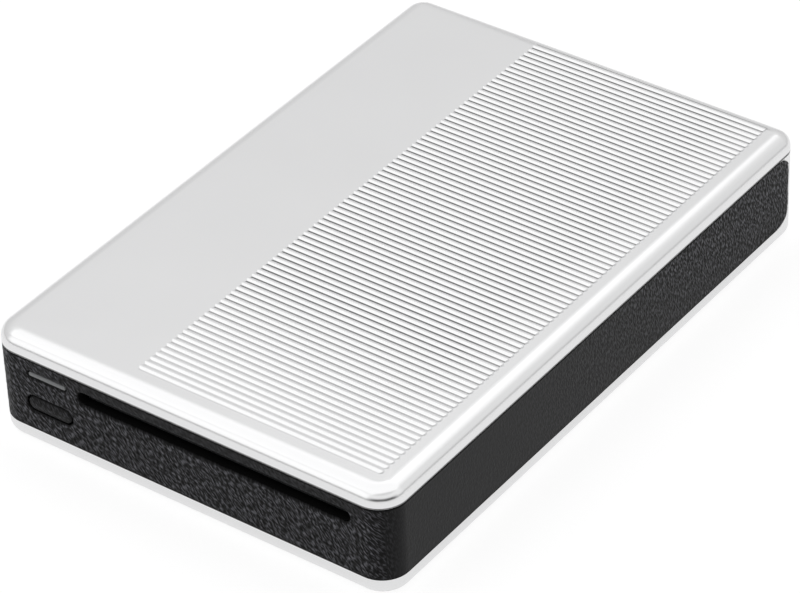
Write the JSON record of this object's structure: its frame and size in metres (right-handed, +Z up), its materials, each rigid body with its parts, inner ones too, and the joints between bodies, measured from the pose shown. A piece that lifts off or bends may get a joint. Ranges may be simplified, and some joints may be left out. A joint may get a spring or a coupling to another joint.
{
  "type": "compact photo printer",
  "caption": "Pocket photo printer with a ribbed hinged cover over its paper bay, a leather band, a paper slot and a power button.",
  "frame": {"origin": "centre of the flat bottom", "axes": "+Z up; -Y towards the face with the paper slot; X across, +X to the right when looking at the slot"},
  "size_m": [0.08, 0.1194, 0.0214],
  "materials": {
    "silver_satin": "satin silver paint on moulded plastic",
    "leather_black": "black grained leather",
    "liner_black": "dark moulded plastic",
    "inner_black": "dark moulded plastic with a fine grain",
    "steel_bright": "turned or drawn steel",
    "spring_steel": "spring steel",
    "steel_sheet": "zinc plated sheet steel",
    "aluminium_raw": "extruded aluminium",
    "magnet_grey": "nickel plated magnet",
    "rubber_black": "ground black rubber",
    "rubber_grey": "ground grey rubber",
    "gear_ivory": "natural acetal",
    "ceramic": "glazed ceramic",
    "brass_pinion": "cut brass",
    "battery_foil": "laminated foil pouch",
    "board_green": "solder mask",
    "chip_black": "moulded epoxy",
    "light_diffuser": "milky diffuser",
    "led_white": "small lamp package"
  },
  "bodies": {
    "housing": {"hinge_pins": "steel_bright", "lower_housing": "silver_satin", "leather_band": "leather_black", "inner_deck": "inner_black", "deck_magnets": "magnet_grey", "paper_tray": "inner_black", "case_screws": "steel_bright", "engine_frame": "steel_sheet", "engine_screws": "steel_bright", "lower_guide": "inner_black", "upper_guide": "steel_sheet", "platen_bushes": "gear_ivory", "pickup_bushes": "gear_ivory", "exit_bushes": "gear_ivory", "pinch_shaft": "steel_bright", "head_pivot_rod": "steel_bright", "head_springs": "spring_steel", "motor_can": "steel_sheet", "motor_bracket": "steel_sheet", "sensor_pin": "steel_bright", "paper_sensor": "chip_black", "battery": "battery_foil", "main_board": "board_green", "shield_can": "steel_bright", "board_chips": "chip_black", "board_screws": "steel_bright", "usb_socket": "steel_bright", "key_board": "board_green", "power_switch": "chip_black", "light_guide": "light_diffuser", "status_leds": "led_white"},
    "cover": {"top_cover": "silver_satin", "cover_liner": "liner_black", "pressure_pin": "steel_bright", "pressure_springs": "spring_steel", "cover_magnets": "magnet_grey"},
    "pressure_flap": {"pressure_plate": "inner_black"},
    "platen": {"platen_shaft": "steel_bright", "platen_rubber": "rubber_black", "platen_gear": "gear_ivory"},
    "pickup_roller": {"pickup_shaft": "steel_bright", "pickup_tyres": "rubber_grey", "pickup_gear": "gear_ivory"},
    "exit_roller": {"exit_shaft": "steel_bright", "exit_tyres": "rubber_black", "exit_gear": "gear_ivory"},
    "exit_idler": {"exit_idler_gear": "gear_ivory"},
    "link_wheel": {"link_gear": "gear_ivory"},
    "step_wheel": {"step_gear": "gear_ivory"},
    "motor_rotor": {"motor_pinion": "brass_pinion", "motor_shaft": "steel_bright"},
    "pinch_pair": {"pinch_rollers": "gear_ivory"},
    "print_head": {"thermal_head": "ceramic", "heat_sink": "aluminium_raw", "head_bracket": "steel_sheet"},
    "paper_lever": {"sensor_lever": "inner_black"},
    "button": {"power_button": "leather_black", "switch_stem": "gear_ivory"}
  },
  "joints": [
    {"name": "cover_hinge", "type": "hinge", "parent": "housing", "child": "cover", "pos_m": [0, 0.05877, 0.0188], "axis": [-1, 0, 0], "range_deg": [0, 90]},
    {"name": "pressure_flap_swing", "type": "hinge", "parent": "cover", "child": "pressure_flap", "pos_m": [0.0054, 0.00752, 0.0181], "axis": [-1, 0, 0], "range_deg": [0, 5], "stiffness_Nm_per_rad": 0.02, "springref_deg": -17.19, "deforming": ["pressure_springs"]},
    {"name": "platen_spin", "type": "hinge", "parent": "housing", "child": "platen", "pos_m": [0, -0.03797, 0.0106], "axis": [1, 0, 0], "continuous": true},
    {"name": "pickup_spin", "type": "hinge", "parent": "housing", "child": "pickup_roller", "pos_m": [0, -0.01898, 0.0096], "axis": [1, 0, 0], "continuous": true},
    {"name": "exit_spin", "type": "hinge", "parent": "housing", "child": "exit_roller", "pos_m": [0, -0.05097, 0.0116], "axis": [1, 0, 0], "continuous": true},
    {"name": "exit_idler_spin", "type": "hinge", "parent": "housing", "child": "exit_idler", "pos_m": [0, -0.04582, 0.00607], "axis": [1, 0, 0], "continuous": true},
    {"name": "link_spin", "type": "hinge", "parent": "housing", "child": "link_wheel", "pos_m": [0, -0.02902, 0.00726], "axis": [1, 0, 0], "continuous": true},
    {"name": "step_spin", "type": "hinge", "parent": "housing", "child": "step_wheel", "pos_m": [0, -0.02162, 0.00926], "axis": [1, 0, 0], "continuous": true},
    {"name": "motor_spin", "type": "hinge", "parent": "housing", "child": "motor_rotor", "pos_m": [0, -0.01396, 0.00926], "axis": [1, 0, 0], "continuous": true},
    {"name": "pinch_spin", "type": "hinge", "parent": "housing", "child": "pinch_pair", "pos_m": [0, -0.05097, 0.01655], "axis": [1, 0, 0], "continuous": true},
    {"name": "head_lift", "type": "hinge", "parent": "housing", "child": "print_head", "pos_m": [0, -0.02798, 0.0166], "axis": [-1, 0, 0], "range_deg": [0, 1.8], "stiffness_Nm_per_rad": 0.5, "springref_deg": -4.58, "deforming": ["head_springs"]},
    {"name": "lever_tilt", "type": "hinge", "parent": "housing", "child": "paper_lever", "pos_m": [-0.012, -0.02998, 0.011], "axis": [1, 0, 0], "range_deg": [0, 35], "stiffness_Nm_per_rad": 0.000005, "springref_deg": -57.3},
    {"name": "button_press", "type": "slide", "parent": "housing", "child": "button", "axis": [0, 1, 0], "range_m": [0, 0.0004], "stiffness_N_per_m": 1500, "springref_m": -0.0004}
  ],
  "couplings": [
    {"joint": "pickup_spin", "follows": "platen_spin", "ratio": 0.88889},
    {"joint": "exit_spin", "follows": "platen_spin", "ratio": 1.3333},
    {"joint": "exit_idler_spin", "follows": "platen_spin", "ratio": -2},
    {"joint": "link_spin", "follows": "platen_spin", "ratio": -1.7143},
    {"joint": "step_spin", "follows": "platen_spin", "ratio": 3.7143},
    {"joint": "motor_spin", "follows": "platen_spin", "ratio": -10.4},
    {"joint": "pinch_spin", "follows": "platen_spin", "ratio": -2.2222}
  ]
}
